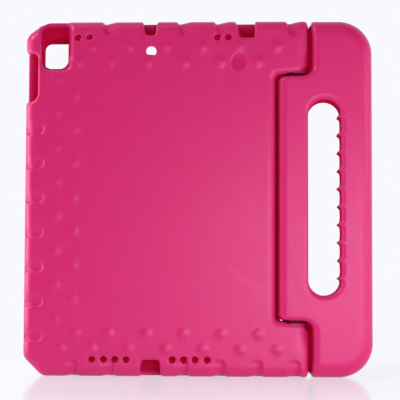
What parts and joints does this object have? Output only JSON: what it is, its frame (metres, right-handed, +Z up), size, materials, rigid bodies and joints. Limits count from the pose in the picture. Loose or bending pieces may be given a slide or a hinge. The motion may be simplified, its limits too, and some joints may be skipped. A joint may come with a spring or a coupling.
{
  "type": "tablet case",
  "caption": "Foam tablet case with a wrap-round tray, camera and port cut-outs, grip recesses and a hinged carrying handle that folds back as a stand.",
  "frame": {"origin": "middle of the footprint, on the surface that the case stands on", "axes": "+Z up along the case's long side, +X towards the handle, +Y out of the screen side, so the back faces -Y"},
  "size_m": [0.269, 0.024, 0.275],
  "materials": {
    "foam_body": "satin moulded EVA foam skin",
    "foam_handle": "satin moulded EVA foam skin",
    "hinge_sockets": "moulded nylon, matte",
    "hinge_pins": "moulded acetal, satin",
    "friction_washers": "stamped polymer sheet, matte"
  },
  "bodies": {
    "case": {"body_shell": "foam_body", "upper_ear_socket": "hinge_sockets", "upper_hinge_pin": "hinge_pins", "upper_friction_washer": "friction_washers", "lower_ear_socket": "hinge_sockets", "lower_hinge_pin": "hinge_pins", "lower_friction_washer": "friction_washers"},
    "folding_handle": {"handle": "foam_handle", "upper_handle_socket": "hinge_sockets", "lower_handle_socket": "hinge_sockets"}
  },
  "joints": [
    {"name": "handle_hinge", "type": "hinge", "parent": "case", "child": "folding_handle", "pos_m": [0.0745, 0, 0.1375], "axis": [0, 0, -1], "range_deg": [0, 105]}
  ]
}
